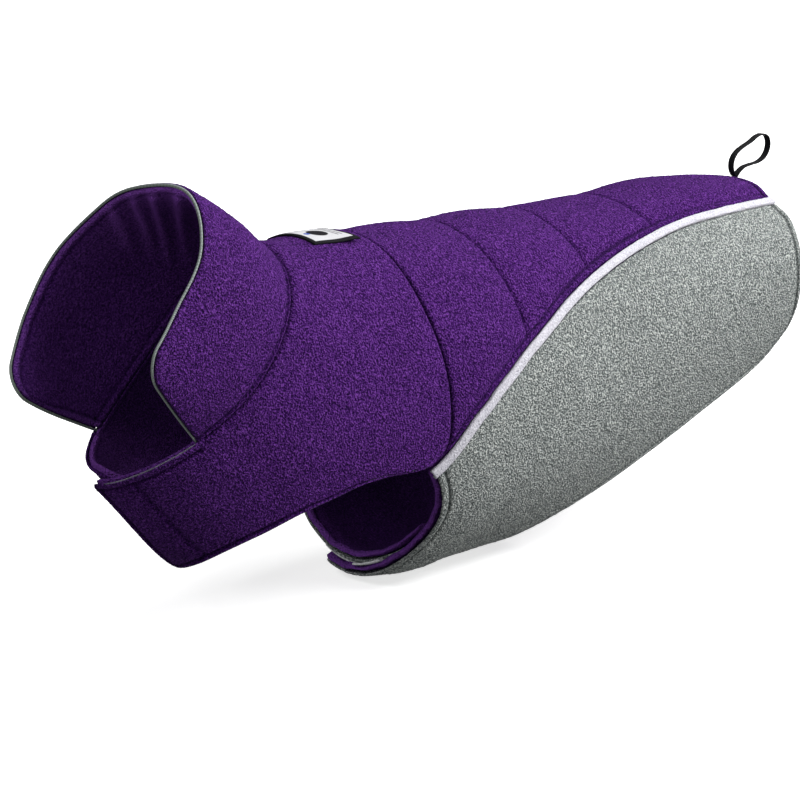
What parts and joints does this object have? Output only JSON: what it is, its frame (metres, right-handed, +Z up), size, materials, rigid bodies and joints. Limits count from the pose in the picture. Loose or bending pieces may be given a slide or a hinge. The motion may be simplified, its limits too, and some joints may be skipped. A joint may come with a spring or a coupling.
{
  "type": "dog winter coat",
  "caption": "Fleece dog coat in worn form: high open collar, quilted back, chest flaps and belly bands closed with hook-and-loop tape, tail loop.",
  "frame": {"origin": "on the lining's inner face at the withers, in the middle of the back under the first quilting seam, where the coat rests on the wearer", "axes": "+Y along the spine towards the tail, +X to the wearer's left, +Z up away from the wearer's back"},
  "size_m": [0.1728, 0.5997, 0.2691],
  "materials": {
    "purple_fleece": "pebbled fleece",
    "purple_lining": "smooth fleece",
    "grey_fleece": "heather fleece",
    "pale_piping": "brushed fleece",
    "reflective_piping": "retroreflective weave",
    "black_tape": "hook-and-loop tape",
    "pale_tape": "hook-and-loop tape",
    "woven_label": "woven satin",
    "black_elastic": "flat braided elastic"
  },
  "bodies": {
    "root": {"front_piece": "purple_fleece", "back_piece": "purple_fleece", "collar": "purple_fleece", "lining_front": "purple_lining", "lining_back": "purple_lining", "lining_left": "purple_lining", "lining_right": "purple_lining", "lining_collar": "purple_lining", "side_left": "grey_fleece", "side_right": "grey_fleece", "piping_left": "pale_piping", "piping_right": "pale_piping", "piping_collar": "reflective_piping", "chest_tape_hook": "black_tape", "chest_tape_loop": "black_tape", "belly_tape_hook": "pale_tape", "belly_tape_loop": "pale_tape", "label": "woven_label", "tail_loop": "black_elastic"}
  },
  "joints": []
}
